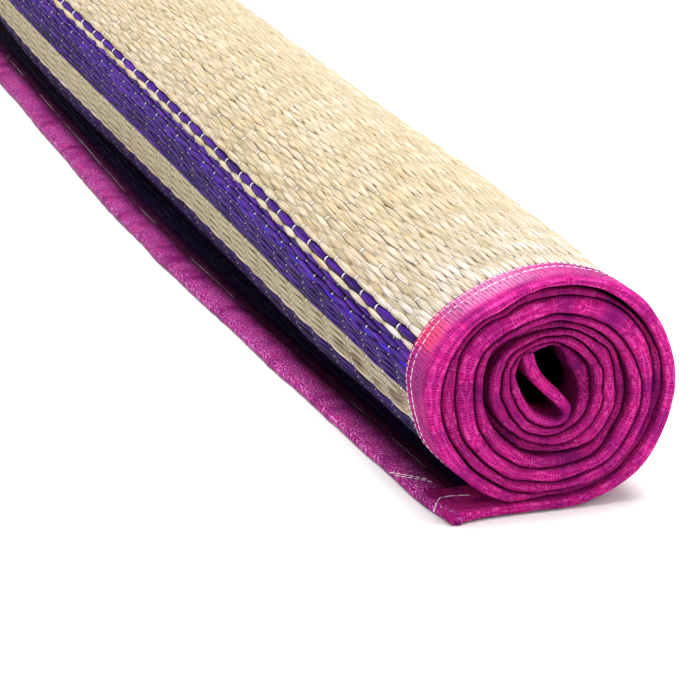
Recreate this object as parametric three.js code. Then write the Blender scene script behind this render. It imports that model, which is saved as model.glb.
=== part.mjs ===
import * as THREE from 'three';

// A grass floor mat, rolled up and lying on the floor, with its loose end flat underneath it.
// Millimetres. X runs across the roll, Y along it (the mat's reeds lie along Y), Z up from the floor.

// Driving dimensions
const ROLL_LENGTH = 1200;     // the mat's side measured along its reeds
const TAPE_WIDTH = 32;        // how much of the weave the side tape covers
const END_TAPE_WIDTH = 23;    // how much of it the tape on the loose edge covers
const JOIN_GAP = 0.3;         // clear space where weave and tape meet
const WEAVE_THICK = 3.0;      // woven sheet
const BOUND_THICK = 5.5;      // woven sheet inside its folded tape
const TAPE_PROUD = 1.3;       // the bound edge stands this far outside the woven turns
const CENTRE_Z = 57.6;        // height of the roll's centre at its near end
const FLOOR_RIGHT = 10;       // the flat underside ends here, under the roll
const SAG_AT = 216;           // degrees: where the outermost turn sags to the lower left
const SAG_SPREAD = 34;        // degrees
const EDGE_ROUND = 1.6;       // rounding of the bound edge
const RIGHT_START = -72;      // degrees: the wound form rises from the floor here

// Radius of the bound near end about its centre, by direction: 0 is right, 90 up, 180 left.
const NEAR_SECTION = [
  { deg: -100, r: 57.8 }, { deg: -78, r: 58.5 }, { deg: -69, r: 59.8 }, { deg: -58, r: 60.8 },
  { deg: -43, r: 63.2 }, { deg: -25, r: 63.0 }, { deg: -10, r: 63.7 }, { deg: 0, r: 64.4 },
  { deg: 25, r: 64.3 }, { deg: 42, r: 64.2 }, { deg: 54, r: 63.0 }, { deg: 68, r: 60.8 },
  { deg: 80, r: 59.7 }, { deg: 93, r: 58.3 }, { deg: 107, r: 57.6 }, { deg: 120, r: 57.9 },
  { deg: 133, r: 59.6 }, { deg: 144, r: 61.7 }, { deg: 154, r: 63.0 }, { deg: 163, r: 64.0 },
  { deg: 171, r: 63.7 }, { deg: 177, r: 62.5 }, { deg: 184, r: 61.4 }, { deg: 191, r: 60.4 },
  { deg: 200, r: 59.7 }, { deg: 207, r: 58.9 }, { deg: 216, r: 57.3 }, { deg: 227, r: 56.2 },
  { deg: 238, r: 55.7 }, { deg: 250, r: 55.5 }, { deg: 275, r: 55.8 },
];

// How the section changes along the roll: width and height factors, side shift, and the sag of the outermost turn.
const STATIONS = [
  { y: 0, wide: 1.0, high: 1.0, shift: 0.0, sag: 0.0 },
  { y: 35, wide: 1.001, high: 0.986, shift: 0.6, sag: 1.9 },
  { y: 100, wide: 1.036, high: 0.963, shift: 2.6, sag: 3.8 },
  { y: 200, wide: 1.028, high: 0.966, shift: 1.1, sag: 8.0 },
  { y: 350, wide: 0.982, high: 0.934, shift: 1.2, sag: 12.2 },
  { y: 550, wide: 0.940, high: 0.883, shift: 2.5, sag: 18.3 },
  { y: 800, wide: 0.919, high: 0.853, shift: 1.0, sag: 23.5 },
  { y: 1050, wide: 0.950, high: 0.872, shift: 0.0, sag: 15.0 },
  { y: 1165, wide: 0.978, high: 0.925, shift: 0.0, sag: 5.0 },
  { y: 1200, wide: 0.985, high: 0.940, shift: 0.0, sag: 2.5 },
];

// Where the loose end's edge lies on the floor, along the roll.
const LOOSE_EDGE = [
  { y: 0, x: -50.5 }, { y: 27, x: -55.5 }, { y: 55, x: -57.5 }, { y: 107, x: -61 }, { y: 163, x: -65 },
  { y: 223, x: -69 }, { y: 289, x: -73 }, { y: 356, x: -77 }, { y: 432, x: -81 }, { y: 520, x: -84 },
  { y: 567, x: -85 }, { y: 864, x: -85 }, { y: 1000, x: -84.5 }, { y: 1200, x: -84 },
];

// The eye that the innermost turn leaves open, seen on the near end.
const EYE = [
  { x: -3.2, z: 83.2 }, { x: -5.6, z: 80.2 }, { x: -6.2, z: 76.8 }, { x: -4.4, z: 72.2 }, { x: -1.0, z: 67.2 },
  { x: 2.3, z: 62.8 }, { x: 5.4, z: 59.8 }, { x: 9.4, z: 57.9 }, { x: 13.4, z: 57.3 }, { x: 16.0, z: 59.2 },
  { x: 15.2, z: 64.0 }, { x: 13.2, z: 69.2 }, { x: 11.0, z: 73.6 }, { x: 8.2, z: 77.8 }, { x: 4.8, z: 81.0 },
  { x: 0.8, z: 82.8 },
];

const FLOOR_POINTS = 7;       // along the flat underside
const OUTLINE_POINTS = 50;    // round the wound form
const TOP_POINTS = 5;         // along the loose end's upper side

// Monotone cubic interpolation of one column of a table.
function curve(rows, key, value) {
  const n = rows.length;
  const h = [], s = [], m = new Array(n).fill(0);
  for (let i = 0; i < n - 1; i++) {
    h.push(rows[i + 1][key] - rows[i][key]);
    s.push((rows[i + 1][value] - rows[i][value]) / h[i]);
  }
  for (let i = 1; i < n - 1; i++) {
    if (s[i - 1] * s[i] > 0) {
      const a = 2 * h[i] + h[i - 1], b = h[i] + 2 * h[i - 1];
      m[i] = (a + b) / (a / s[i - 1] + b / s[i]);
    }
  }
  m[0] = s[0];
  m[n - 1] = s[n - 2];
  return (t) => {
    let i = 0;
    while (i < n - 2 && t > rows[i + 1][key]) i++;
    const u = Math.min(1, Math.max(0, (t - rows[i][key]) / h[i]));
    const u2 = u * u, u3 = u2 * u;
    return (2 * u3 - 3 * u2 + 1) * rows[i][value] + (u3 - 2 * u2 + u) * h[i] * m[i]
      + (3 * u2 - 2 * u3) * rows[i + 1][value] + (u3 - u2) * h[i] * m[i + 1];
  };
}

const nearRadius = curve(NEAR_SECTION, 'deg', 'r');
const wideAt = curve(STATIONS, 'y', 'wide');
const highAt = curve(STATIONS, 'y', 'high');
const shiftAt = curve(STATIONS, 'y', 'shift');
const sagAt = curve(STATIONS, 'y', 'sag');
const edgeAt = curve(LOOSE_EDGE, 'y', 'x');

// A point of the wound form's outline, in one direction at one place along the roll.
function outline(deg, y, inset) {
  const a = THREE.MathUtils.degToRad(deg);
  const sag = sagAt(y) * Math.exp(-(((deg - SAG_AT) / SAG_SPREAD) ** 2));
  const r = nearRadius(deg) - inset + sag;
  return new THREE.Vector2(
    shiftAt(y) + wideAt(y) * r * Math.cos(a),
    highAt(y) * (CENTRE_Z + r * Math.sin(a)),
  );
}

// Where the outermost turn comes down onto the loose end: the inner tip of the crevice between them.
function creviceDeg(y, inset, thick) {
  let deg = 200;
  while (deg < 272 && outline(deg, y, inset).y > thick + 0.5) deg += 0.25;
  return deg;
}

// Outer boundary of the section: underside, wound form, crevice, loose end.
function sectionRing(y, inset, thick, edgeX, edgeRound) {
  const ring = [];
  for (let i = 0; i < FLOOR_POINTS; i++) {
    const t = i / (FLOOR_POINTS - 1);
    ring.push(new THREE.Vector2(edgeX + edgeRound + t * (FLOOR_RIGHT - edgeX - edgeRound), 0));
  }
  const last = creviceDeg(y, inset, thick);
  for (let i = 0; i < OUTLINE_POINTS; i++) {
    const t = i / (OUTLINE_POINTS - 1);
    ring.push(outline(RIGHT_START + t * (last - RIGHT_START), y, inset));
  }
  const tip = ring[ring.length - 1];
  for (let i = 1; i <= TOP_POINTS; i++) {
    const t = i / TOP_POINTS;
    const start = tip.x - 1.5;
    ring.push(new THREE.Vector2(start + t * (edgeX + edgeRound - start), thick));
  }
  ring.push(new THREE.Vector2(edgeX, thick * 0.6));
  ring.push(new THREE.Vector2(edgeX, thick * 0.3));
  return ring;
}

// The eye's boundary at one place along the roll, it follows the roll's flattening.
function eyeRing(y, grow) {
  const cx = 4.2, cz = 70.2;
  return EYE.map(({ x, z }) => {
    const dx = x - cx, dz = z - cz, d = Math.hypot(dx, dz);
    const k = (d + grow) / d;
    return new THREE.Vector2(shiftAt(y) + wideAt(y) * (cx + dx * k), highAt(y) * (cz + dz * k));
  });
}

// A closed solid through a row of sections, with an optional hole from end to end.
function loft(sections) {
  const position = [], index = [];
  const rings = Object.keys(sections[0]).filter((k) => k !== 'y');
  const start = {};
  for (const name of rings) {
    start[name] = position.length / 3;
    for (const s of sections) for (const p of s[name]) position.push(p.x, s.y, p.y);
  }
  for (const name of rings) {
    const n = sections[0][name].length, flip = name === 'hole';
    for (let k = 0; k < sections.length - 1; k++) {
      for (let i = 0; i < n; i++) {
        const a = start[name] + k * n + i, b = start[name] + k * n + (i + 1) % n;
        const c = a + n, d = b + n;
        if (flip) index.push(a, c, b, b, c, d);
        else index.push(a, b, c, b, d, c);
      }
    }
  }
  for (const k of [0, sections.length - 1]) {
    const s = sections[k];
    const holes = s.hole ? [s.hole] : [];
    const at = (i) => (i < s.outer.length
      ? start.outer + k * s.outer.length + i
      : start.hole + k * s.hole.length + (i - s.outer.length));
    for (const [a, b, c] of THREE.ShapeUtils.triangulateShape(s.outer, holes)) {
      if (k === 0) index.push(at(a), at(c), at(b));
      else index.push(at(a), at(b), at(c));
    }
  }
  // Faces point outwards when the signed volume is positive.
  const v = (i) => new THREE.Vector3().fromArray(position, i * 3);
  let volume = 0;
  for (let i = 0; i < index.length; i += 3) {
    volume += v(index[i]).dot(v(index[i + 1]).cross(v(index[i + 2])));
  }
  if (volume < 0) for (let i = 0; i < index.length; i += 3) [index[i], index[i + 1]] = [index[i + 1], index[i]];
  const geometry = new THREE.BufferGeometry();
  geometry.setAttribute('position', new THREE.Float32BufferAttribute(position, 3));
  geometry.setIndex(index);
  return geometry;
}

// The wound form and the loose end in one section.
function woundSection(y, inset, thick, edgeX, edgeRound, eyeGrow) {
  return { y, outer: sectionRing(y, inset, thick, edgeX, edgeRound), hole: eyeRing(y, eyeGrow) };
}

function boundEnd(outerY, innerY) {
  const way = Math.sign(innerY - outerY);
  const rows = [
    { step: 0, inset: EDGE_ROUND, thin: 1.2 }, { step: 1.5, inset: 0.5, thin: 0.4 },
    { step: 4, inset: 0, thin: 0 }, { step: 18, inset: 0, thin: 0 },
    { step: Math.abs(innerY - outerY), inset: 0.2, thin: 0 },
  ];
  const list = rows.map(({ step, inset, thin }) => {
    const y = outerY + way * step;
    return woundSection(y, inset, BOUND_THICK - thin, edgeAt(y) + inset * 0.6, 1.2, inset * 0.6);
  });
  if (way < 0) list.reverse();
  return loft(list);
}

const weaveStart = TAPE_WIDTH + JOIN_GAP, weaveEnd = ROLL_LENGTH - TAPE_WIDTH - JOIN_GAP;
const weaveStops = [weaveStart, 60, 100, 150, 200, 275, 350, 450, 550, 675, 800, 925, 1050, 1110, weaveEnd];

const weave = loft(weaveStops.map((y) =>
  woundSection(y, TAPE_PROUD, WEAVE_THICK, edgeAt(y) + END_TAPE_WIDTH + JOIN_GAP, 0.4, 0)));

// The tape folded over the loose edge, between the two side tapes.
const strip = loft(weaveStops.map((y) => {
  const e = edgeAt(y), b = BOUND_THICK, w = END_TAPE_WIDTH;
  return {
    y,
    outer: [[e + 1.2, 0], [e + w * 0.5, 0], [e + w, 0], [e + w, b - 1.2],
      [e + w - 3, b - 0.3], [e + w * 0.5, b - 0.6], [e + 3.5, b], [e + 1.0, b - 0.9], [e, b * 0.5]]
      .map(([x, z]) => new THREE.Vector2(x, z)),
  };
}));

const reed = new THREE.MeshStandardMaterial({ color: 0xe9dcae, roughness: 0.75, metalness: 0 });
const tape = new THREE.MeshStandardMaterial({ color: 0xc8268f, roughness: 0.6, metalness: 0 });

const mat = new THREE.Group();
const add = (name, geometry, material) => {
  const mesh = new THREE.Mesh(geometry, material);
  mesh.name = name;
  mat.add(mesh);
};
add('woven_mat', weave, reed);
add('side_binding_near', boundEnd(0, TAPE_WIDTH), tape);
add('side_binding_far', boundEnd(ROLL_LENGTH, ROLL_LENGTH - TAPE_WIDTH), tape.clone());
add('end_binding', strip, tape.clone());

// The origin is the middle of the footprint, on the floor.
const box = new THREE.Box3().setFromObject(mat);
mat.position.set(-(box.min.x + box.max.x) / 2, -(box.min.y + box.max.y) / 2, -box.min.z);
mat.updateMatrixWorld(true);

export default mat;
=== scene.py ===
import bpy
import math
import numpy as np
from mathutils import Matrix, Vector


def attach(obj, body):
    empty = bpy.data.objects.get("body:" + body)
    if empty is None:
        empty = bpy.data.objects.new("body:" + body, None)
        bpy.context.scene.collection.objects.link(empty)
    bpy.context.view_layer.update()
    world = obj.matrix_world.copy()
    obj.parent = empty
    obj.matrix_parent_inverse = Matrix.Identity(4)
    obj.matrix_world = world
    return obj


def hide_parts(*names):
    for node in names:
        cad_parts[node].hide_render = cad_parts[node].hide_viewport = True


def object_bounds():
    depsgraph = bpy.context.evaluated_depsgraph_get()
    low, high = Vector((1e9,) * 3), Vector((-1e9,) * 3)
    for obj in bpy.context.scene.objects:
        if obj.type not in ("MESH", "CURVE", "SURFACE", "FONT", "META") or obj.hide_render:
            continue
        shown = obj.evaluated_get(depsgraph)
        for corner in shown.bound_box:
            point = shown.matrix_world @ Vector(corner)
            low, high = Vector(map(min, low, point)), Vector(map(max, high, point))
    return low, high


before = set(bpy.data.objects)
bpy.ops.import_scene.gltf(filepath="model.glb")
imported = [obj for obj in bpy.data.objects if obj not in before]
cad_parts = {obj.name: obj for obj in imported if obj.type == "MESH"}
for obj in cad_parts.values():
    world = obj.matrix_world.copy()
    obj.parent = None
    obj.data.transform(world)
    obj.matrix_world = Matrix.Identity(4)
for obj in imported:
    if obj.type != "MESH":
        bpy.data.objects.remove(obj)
CAD_LO, CAD_HI = [list(map(float, c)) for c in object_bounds()]

# A rolled grass floor mat. Sizes in millimetres in the roll's own frame: X across, Y along the roll from its
# near end, Z up from the floor. build() brings them to metres in the part's frame.
LENGTH = 1200.0
TAPE_W = 32.0
TAPE_PROUD = 1.3
CENTRE_Z = 57.6
EDGE_MIN = -85.0
SHIFT = np.array([CAD_LO[0] * 1000.0 - EDGE_MIN, CAD_LO[1] * 1000.0, 0.0])
RNG = np.random.default_rng(7)


# ---------------------------------------------------------------- tables
class Curve:
    """Monotone cubic through (t, v), held constant past its ends."""

    def __init__(self, t, v):
        t, v = np.asarray(t, float), np.asarray(v, float)
        h = np.diff(t)
        s = np.diff(v) / h
        m = np.zeros(len(t))
        for i in range(1, len(t) - 1):
            if s[i - 1] * s[i] > 0:
                a, b = 2 * h[i] + h[i - 1], h[i] + 2 * h[i - 1]
                m[i] = (a + b) / (a / s[i - 1] + b / s[i])
        m[0], m[-1] = s[0], s[-1]
        self.t, self.v, self.h, self.m = t, v, h, m

    def __call__(self, x):
        x = np.asarray(x, float)
        i = np.clip(np.searchsorted(self.t, x, side="right") - 1, 0, len(self.t) - 2)
        u = np.clip((x - self.t[i]) / self.h[i], 0, 1)
        u2, u3 = u * u, u * u * u
        return ((2 * u3 - 3 * u2 + 1) * self.v[i] + (u3 - 2 * u2 + u) * self.h[i] * self.m[i]
                + (3 * u2 - 2 * u3) * self.v[i + 1] + (u3 - u2) * self.h[i] * self.m[i + 1])


def columns(rows):
    return [list(c) for c in zip(*rows)]


# direction in degrees, radius of the bound near end
NEAR = columns([
    (-100, 57.8), (-78, 58.5), (-69, 59.8), (-58, 60.8), (-43, 63.2), (-25, 63.0), (-10, 63.7), (0, 64.4),
    (25, 64.3), (42, 64.2), (54, 63.0), (68, 60.8), (80, 59.7), (93, 58.3), (107, 57.6), (120, 57.9),
    (133, 59.6), (144, 61.7), (154, 63.0), (163, 64.0), (171, 63.7), (177, 62.5), (184, 61.4), (191, 60.4),
    (200, 59.7), (207, 58.9), (216, 57.3), (227, 56.2), (238, 55.7), (250, 55.5), (275, 55.8)])
# along the roll: width factor, height factor, side shift, sag of the outermost turn
ALONG = columns([
    (0, 1.0, 1.0, 0.0, 0.0), (35, 1.001, 0.986, 0.6, 1.9), (100, 1.036, 0.963, 2.6, 3.8),
    (200, 1.028, 0.966, 1.1, 8.0), (350, 0.982, 0.934, 1.2, 12.2), (550, 0.940, 0.883, 2.5, 18.3),
    (800, 0.919, 0.853, 1.0, 23.5), (1050, 0.950, 0.872, 0.0, 15.0), (1165, 0.978, 0.925, 0.0, 5.0),
    (1200, 0.985, 0.940, 0.0, 2.5)])
# the loose end's edge on the floor
LOOSE = columns([
    (0, -50.5), (27, -55.5), (55, -57.5), (107, -61), (163, -65), (223, -69), (289, -73), (356, -77),
    (432, -81), (520, -84), (567, -85), (864, -85), (1000, -84.5), (1200, -84)])
near_radius = Curve(*NEAR)
wide_at, high_at, shift_at, sag_at = (Curve(ALONG[0], ALONG[i]) for i in range(1, 5))
edge_at = Curve(*LOOSE)
SAG_AT, SAG_SPREAD = 216.0, 34.0


def outline(deg, y, inset):
    a = np.radians(deg)
    r = near_radius(deg) - inset + sag_at(y) * np.exp(-(((deg - SAG_AT) / SAG_SPREAD) ** 2))
    return shift_at(y) + wide_at(y) * r * np.cos(a), high_at(y) * (CENTRE_Z + r * np.sin(a))


def carry(xn, zn, y, sagging):
    """Takes a point of the near section to its place along the roll."""
    dx, dz = xn, zn - CENTRE_Z
    deg = np.degrees(np.arctan2(dz, dx))
    deg = np.where(deg < -90, deg + 360, deg)
    r = np.hypot(dx, dz) + sagging * sag_at(y) * np.exp(-(((deg - SAG_AT) / SAG_SPREAD) ** 2))
    a = np.radians(deg)
    return shift_at(y) + wide_at(y) * r * np.cos(a), high_at(y) * (CENTRE_Z + r * np.sin(a))


# ---------------------------------------------------------------- small tools
def smooth_noise(t, period, seed, octaves=1):
    """Smooth one-dimensional noise in -1..1."""
    t = np.asarray(t, float)
    out = np.zeros_like(t)
    amp, total = 1.0, 0.0
    for o in range(octaves):
        g = np.random.default_rng(seed * 131 + o * 17)
        vals = g.uniform(-1, 1, 4096)
        x = t / (period / 2 ** o)
        i = np.floor(x).astype(int)
        f = x - i
        f = f * f * (3 - 2 * f)
        out += amp * (vals[i % 4096] * (1 - f) + vals[(i + 1) % 4096] * f)
        total += amp
        amp *= 0.5
    return out / total


def step(a, b, x):
    u = np.clip((np.asarray(x, float) - a) / (b - a), 0, 1)
    return u * u * (3 - 2 * u)


def build(name, verts, quads, tris=None, attrs=None, material=None, smooth=True):
    """A mesh object from roll-frame millimetres."""
    v = (np.asarray(verts, float) + SHIFT) / 1000.0
    q = np.asarray(quads, np.int64).reshape(-1, 4)
    t = np.asarray(tris if tris is not None else [], np.int64).reshape(-1, 3)
    me = bpy.data.meshes.new(name)
    me.vertices.add(len(v))
    me.vertices.foreach_set("co", v.astype(np.float32).ravel())
    loops = np.concatenate([q.ravel(), t.ravel()]).astype(np.int32)
    me.loops.add(len(loops))
    me.loops.foreach_set("vertex_index", loops)
    starts = np.concatenate([np.arange(len(q)) * 4, len(q) * 4 + np.arange(len(t)) * 3]).astype(np.int32)
    me.polygons.add(len(q) + len(t))
    me.polygons.foreach_set("loop_start", starts)
    me.update(calc_edges=True)
    me.validate(verbose=False)
    for key, val in (attrs or {}).items():
        at = me.attributes.new(key, "FLOAT", "POINT")
        at.data.foreach_set("value", np.asarray(val, np.float32).ravel())
    me.polygons.foreach_set("use_smooth", np.full(len(me.polygons), smooth))
    ob = bpy.data.objects.new(name, me)
    bpy.context.scene.collection.objects.link(ob)
    if material:
        me.materials.append(material)
    return ob


def outward(quads, tris, verts):
    """Flips all faces when the closed mesh is inside out."""
    q = np.asarray(quads).reshape(-1, 4)
    t = np.concatenate([q[:, [0, 1, 2]], q[:, [0, 2, 3]], np.asarray(tris if tris is not None else [], int).reshape(-1, 3)])
    v = np.asarray(verts)
    v = v - v.mean(0)
    vol = np.einsum("ij,ij->i", v[t[:, 0]], np.cross(v[t[:, 1]], v[t[:, 2]])).sum()
    if vol < 0:
        q = q[:, ::-1]
        if tris is not None:
            tris = np.asarray(tris).reshape(-1, 3)[:, ::-1]
    return q, tris


def sweep_faces(n_ring, n_pts, base=0):
    """Quads and end caps (fans) of a closed profile swept through n_ring rings."""
    i = np.arange(n_ring - 1)[:, None]
    j = np.arange(n_pts)[None, :]
    a = i * n_pts + j
    b = i * n_pts + (j + 1) % n_pts
    quads = np.stack([a, b, b + n_pts, a + n_pts], -1).reshape(-1, 4) + base
    k = np.arange(1, n_pts - 1)
    first = np.stack([np.zeros_like(k), k + 1, k], -1) + base
    last = np.stack([np.zeros_like(k), k, k + 1], -1) + base + (n_ring - 1) * n_pts
    return quads, np.concatenate([first, last])


# ---------------------------------------------------------------- the wound section
O_X, O_Z = 3.0, 62.0          # the spiral is laid out round this point
# inner boundary of each turn by direction, outermost turn first
TURN_DEG = [-90, -60, -30, 0, 30, 45, 60, 90, 120, 135, 150, 180, 210, 240, 255]
TURN_IN = [
    [56.6, 57.0, 55.6, 54.6, 53.2, 52.2, 51.2, 50.0, 49.2, 52.6, 55.4, 57.4, 56.5, 55.2, 55.2],
    [52.8, 54.0, 51.4, 50.0, 48.6, 48.0, 46.6, 45.6, 45.4, 48.8, 50.5, 49.8, 50.3, 49.6, 48.8],
    [48.5, 47.8, 45.8, 43.5, 40.9, 38.9, 37.6, 35.7, 37.4, 39.6, 41.6, 41.0, 42.2, 42.4, 41.3],
    [40.8, 42.0, 39.2, 37.6, 35.0, 33.6, 32.8, 32.5, 33.6, 36.2, 37.6, 36.1, 35.0, 35.0, 34.5],
    [34.2, 35.6, 33.0, 31.0, 30.2, 29.5, 29.3, 28.2, 29.4, 31.2, 32.8, 33.0, 31.4, 30.6, 30.4],
    [31.0, 29.6, 27.0, 25.0, 24.9, 24.6, 25.2, 25.0, 26.2, 27.4, 28.0, 27.0, 25.6, 25.6, 25.6],
    [25.2, 23.6, 21.2, 19.8, 19.5, 19.4, 20.4, 21.8, 23.6, 24.8, 24.6, 22.0, 20.6, 20.3, 20.6],
    [20.5, 18.6, 14.4, 12.4, 11.4, 11.6, 14.0, 19.0, 20.8, 22.4, 21.4, 17.6, 14.8, 15.0, 15.2],
]
_u = [n + 1 + (d + 90) / 360 for n in range(8) for d in TURN_DEG] + [9.0]
_i = [v for row in TURN_IN for v in row] + [16.0]
_r_smooth = Curve(_u, _i)


def r_in(u):
    """Adds small dents to the measured turns; neighbours share them, so the turns stay apart."""
    u = np.asarray(u, float)
    ease = np.clip((u - 1.0) / 0.3, 0, 1) * np.clip((9.0 - u) / 0.4, 0, 1)
    return _r_smooth(u) + ease * (0.85 * smooth_noise(u, 0.095, 411, 2) + 0.45 * smooth_noise(u, 0.034, 412))


# extra space in front of a turn, by turn number
extra_gap = Curve([1, 2.28, 2.34, 2.42, 2.50, 2.56, 4.9, 5.15, 5.25, 5.35, 5.5, 6.2, 7.9, 8.1, 9], [0, 0, 0.9, 1.2, 0.7, 0, 0, 0.3, 1.7, 0.3, 0, 0, 0, 0, 0])
# how deep the bound edge sits behind the outermost one, by turn number
recess = Curve(
    [0, 1.0, 1.9, 2.02, 2.12, 2.25, 2.5, 2.75, 2.95, 3.1, 3.5, 3.95, 4.1, 4.25, 4.6, 4.9, 5.05, 5.2, 5.35, 5.5, 5.6, 5.78,
     5.9, 6.05, 6.2, 6.45, 6.7, 6.95, 7.1, 7.3, 7.5, 7.75, 8.0, 8.15, 8.3, 8.5, 8.62, 8.8, 9.0, 9.2, 9.6],
    [0.4, 0.2, 0.4, 3.6, 4.2, 2.6, 2.4, 1.6, 1.2, 0.4, 0.6, 0.8, 0.6, 1.2, 1.6, 1.6, 2.6, 4.6, 3.0, 3.4, 6.5, 11.0,
     6.0, 3.6, 2.2, 3.4, 2.4, 1.6, 1.0, 2.8, 3.4, 2.6, 1.8, 3.6, 8.0, 6.0, 4.0, 2.6, 2.0, 1.6, 2.0])

_deg = np.arange(-100, 275.1, 1.0)
_ox = near_radius(_deg) * np.cos(np.radians(_deg)) - O_X
_oz = CENTRE_Z + near_radius(_deg) * np.sin(np.radians(_deg)) - O_Z
_od = np.degrees(np.unwrap(np.arctan2(_oz, _ox)))
_orr = np.hypot(_ox, _oz)
if _od[0] > 0:
    _od -= 360


def r_out(u):
    u = np.asarray(u, float)
    deg = ((u - 1) % 1.0) * 360 - 90
    free = np.interp(deg, _od, _orr)
    down = np.maximum(-np.sin(np.radians(deg)), 1e-6)
    free = np.where((deg < -20), np.minimum(free, O_Z / down), free)
    free = np.where((deg > 200), np.minimum(free, (O_Z - 5.9) / down), free)
    return np.where(u < 2, free, r_in(u - 1) - 0.34 - extra_gap(u))


def spiral_path(ds):
    """Centre line of the bound sheet in the near section, from the loose end's corner to the inner end.
    Gives x, z, half thickness, turn number, arc length and the outward normal."""
    flap_x = np.linspace(-51.6, 3.0, 120)[:-1]
    flap = np.stack([flap_x, np.full_like(flap_x, 2.75)], -1)
    flap_h = np.full(len(flap), 2.6)
    flap_u = np.linspace(0.0, 1.0, 120)[:-1]
    u = np.linspace(1.0, 9.0, 3200)
    ro, ri = r_out(u), r_in(u)
    a = np.radians(((u - 1) % 1.0) * 360 - 90)
    a[-1] = math.radians(270)
    rc = (ro + ri) / 2
    wound = np.stack([O_X + rc * np.cos(a), O_Z + rc * np.sin(a)], -1)
    wound_h = np.maximum((ro - ri) / 2, 0.9)
    tail = np.array([(6.2, 44.4), (8.5, 46.9), (8.8, 50.0), (6.6, 53.6), (2.2, 58.4), (-2.8, 63.6), (-6.9, 69.0),
                     (-9.5, 74.6), (-10.8, 80.2)])
    tail_h = np.array([2.2, 2.4, 2.6, 2.8, 3.1, 3.2, 3.2, 3.2, 3.0])
    p = np.concatenate([flap, wound, tail])
    h = np.concatenate([flap_h, wound_h, tail_h])
    uu = np.concatenate([flap_u, u, np.linspace(9.03, 9.6, len(tail))])
    s = np.concatenate([[0], np.cumsum(np.hypot(*np.diff(p, axis=0).T))])
    keep = np.concatenate([[True], np.diff(s) > 1e-6])
    p, h, uu, s = p[keep], h[keep], uu[keep], s[keep]
    # smooth the tail by a cubic through its points
    t = np.arange(0, s[-1], ds)
    cx, cz = Curve(s, p[:, 0]), Curve(s, p[:, 1])
    x, z, hh, us = cx(t), cz(t), np.interp(t, s, h), np.interp(t, s, uu)
    k = max(3, int(round(2.2 / ds)) | 1)
    w = np.hanning(k + 2)[1:-1]
    w /= w.sum()

    def soft(v):
        pad = np.concatenate([np.full(k // 2, v[0]), v, np.full(k // 2, v[-1])])
        return np.convolve(pad, w, mode="valid")

    x, z, hh = soft(x), soft(z), soft(hh)
    tx, tz = np.gradient(x), np.gradient(z)
    n = np.hypot(tx, tz)
    # the sheet runs counterclockwise, so its right-hand side looks outwards
    nx, nz = tz / n, -tx / n
    return x, z, hh, us, t, nx, nz


# ---------------------------------------------------------------- materials
def sock(node, name):
    return node.inputs[name]


class Mat:
    def __init__(self, name):
        self.m = bpy.data.materials.new(name)
        self.m.use_nodes = True
        self.nt = self.m.node_tree
        self.nt.nodes.clear()
        self.out = self.nt.nodes.new("ShaderNodeOutputMaterial")
        self.bsdf = self.nt.nodes.new("ShaderNodeBsdfPrincipled")
        self.nt.links.new(self.bsdf.outputs[0], self.out.inputs[0])

    def link(self, a, b):
        self.nt.links.new(a, b)

    def set(self, **kw):
        for k, v in kw.items():
            self.bsdf.inputs[k.replace("_", " ")].default_value = v

    def attr(self, name):
        n = self.nt.nodes.new("ShaderNodeAttribute")
        n.attribute_name = name
        return n.outputs["Fac"]

    def math(self, op, a, b=None, c=None, clamp=False):
        n = self.nt.nodes.new("ShaderNodeMath")
        n.operation = op
        n.use_clamp = clamp
        for i, v in enumerate((a, b, c)):
            if v is None:
                continue
            if isinstance(v, (int, float)):
                n.inputs[i].default_value = v
            else:
                self.link(v, n.inputs[i])
        return n.outputs[0]

    def vec(self, x, y, z=0.0):
        n = self.nt.nodes.new("ShaderNodeCombineXYZ")
        for i, v in enumerate((x, y, z)):
            if isinstance(v, (int, float)):
                n.inputs[i].default_value = v
            else:
                self.link(v, n.inputs[i])
        return n.outputs[0]

    def noise(self, vector, scale, detail=2.0, rough=0.5, dist=0.0):
        n = self.nt.nodes.new("ShaderNodeTexNoise")
        n.inputs["Scale"].default_value = scale
        n.inputs["Detail"].default_value = detail
        n.inputs["Roughness"].default_value = rough
        n.inputs["Distortion"].default_value = dist
        self.link(vector, n.inputs["Vector"])
        return n.outputs["Fac"]

    def ramp(self, fac, stops, mode="LINEAR"):
        n = self.nt.nodes.new("ShaderNodeValToRGB")
        n.color_ramp.interpolation = mode
        e = n.color_ramp.elements
        while len(e) < len(stops):
            e.new(0.5)
        for el, (p, c) in zip(e, stops):
            el.position = p
            el.color = (*c, 1.0) if len(c) == 3 else c
        self.link(fac, n.inputs[0])
        return n.outputs[0]

    def mix(self, fac, a, b, mode="MIX"):
        n = self.nt.nodes.new("ShaderNodeMix")
        n.data_type = "RGBA"
        n.blend_type = mode
        n.clamp_factor = True
        fi, ai, bi = n.inputs[0], n.inputs[6], n.inputs[7]
        for s, v in ((fi, fac), (ai, a), (bi, b)):
            if isinstance(v, (int, float)):
                s.default_value = v
            elif isinstance(v, tuple):
                s.default_value = (*v, 1.0)
            else:
                self.link(v, s)
        return n.outputs[2]

    def bump(self, height, strength, distance, normal=None):
        n = self.nt.nodes.new("ShaderNodeBump")
        n.inputs["Strength"].default_value = strength
        n.inputs["Distance"].default_value = distance
        self.link(height, n.inputs["Height"])
        if normal is not None:
            self.link(normal, n.inputs["Normal"])
        return n.outputs[0]

    def base(self, c):
        self.link(c, self.bsdf.inputs["Base Color"])

    def normal(self, n):
        self.link(n, self.bsdf.inputs["Normal"])


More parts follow.
